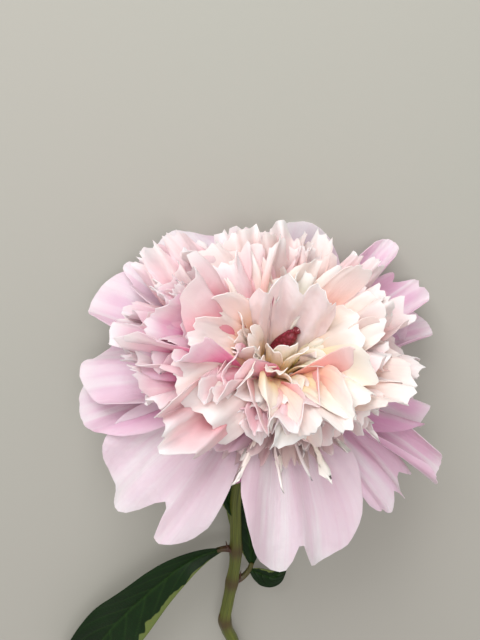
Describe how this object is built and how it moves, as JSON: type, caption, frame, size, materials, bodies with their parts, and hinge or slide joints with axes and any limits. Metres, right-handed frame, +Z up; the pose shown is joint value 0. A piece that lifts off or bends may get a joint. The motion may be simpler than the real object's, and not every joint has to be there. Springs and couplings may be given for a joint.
{
  "type": "cut peony flower",
  "caption": "Cut double peony lying on its side: domed bloom of layered pink-white petals with dark red carpels, ribbed green stem and dark leaves.",
  "frame": {"origin": "the flat spot where the lowest guard petal is pressed against the table", "axes": "+Z up from the table; the stem runs towards -Y, so +Y is the way that the bloom faces, which also tips up by 33.5 degrees"},
  "size_m": [0.1787, 0.2976, 0.0971],
  "materials": {
    "guard_petal": "matte",
    "inner_petal": "matte",
    "carpel": "satin",
    "stem": "satin",
    "sepal": "satin",
    "leaf": "satin"
  },
  "bodies": {
    "root": {"stem": "stem", "calyx": "sepal", "guard_petal_01": "guard_petal", "guard_petal_02": "guard_petal", "guard_petal_03": "guard_petal", "guard_petal_04": "guard_petal", "guard_petal_05": "guard_petal", "guard_petal_06": "guard_petal", "guard_petal_07": "guard_petal", "guard_petal_08": "guard_petal", "guard_petal_09": "guard_petal", "guard_petal_10": "guard_petal", "guard_petal_11": "guard_petal", "guard_petal_12": "guard_petal", "guard_petal_13": "guard_petal", "guard_petal_14": "guard_petal", "guard_petal_15": "guard_petal", "guard_petal_16": "guard_petal", "guard_petal_17": "guard_petal", "inner_petals": "inner_petal", "carpel_1": "carpel", "carpel_2": "carpel", "carpel_3": "carpel", "leaf_left": "leaf", "leaf_right": "leaf", "leaf_bract": "leaf"}
  },
  "joints": []
}
